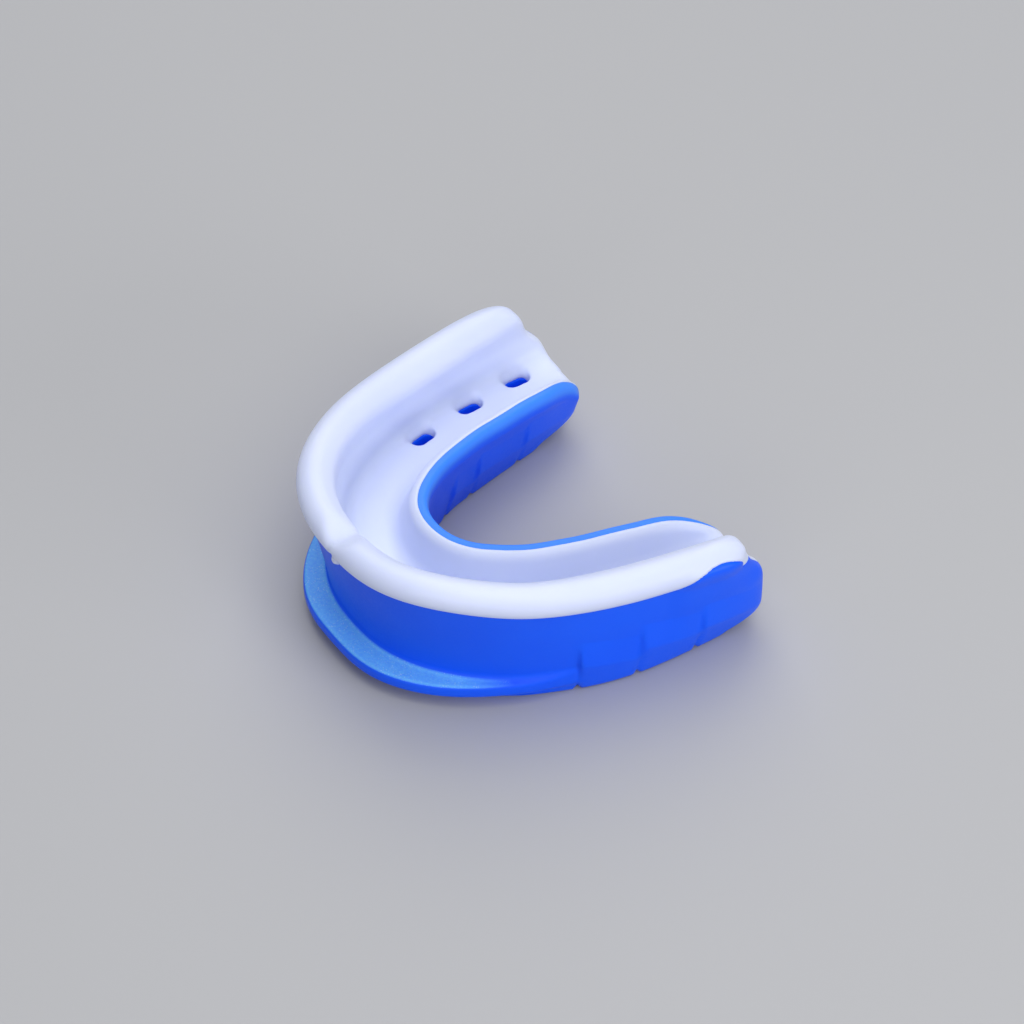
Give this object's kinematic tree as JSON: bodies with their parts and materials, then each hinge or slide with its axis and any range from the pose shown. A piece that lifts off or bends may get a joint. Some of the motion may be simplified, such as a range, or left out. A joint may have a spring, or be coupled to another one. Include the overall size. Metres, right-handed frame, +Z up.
{
  "type": "mouthguard",
  "caption": "U-shaped boil-and-bite mouthguard: white soft liner with a bead rim, frenum notch and floor holes, moulded into a blue firm shell with a front lip shelf.",
  "frame": {"origin": "bottom centre of the bounding box, on the surface the guard lies on", "axes": "+Z up with the tooth trough open upward; front teeth towards -Y, arms run back to +Y; +X is the wearer's left"},
  "size_m": [0.063, 0.0538, 0.0238],
  "materials": {
    "shell_blue": "satin firm thermoplastic rubber with a fine matt grain on the shelf",
    "liner_white": "smooth satin soft EVA, slightly translucent"
  },
  "bodies": {
    "root": {"outer_shell": "shell_blue", "fit_liner": "liner_white"}
  },
  "joints": []
}
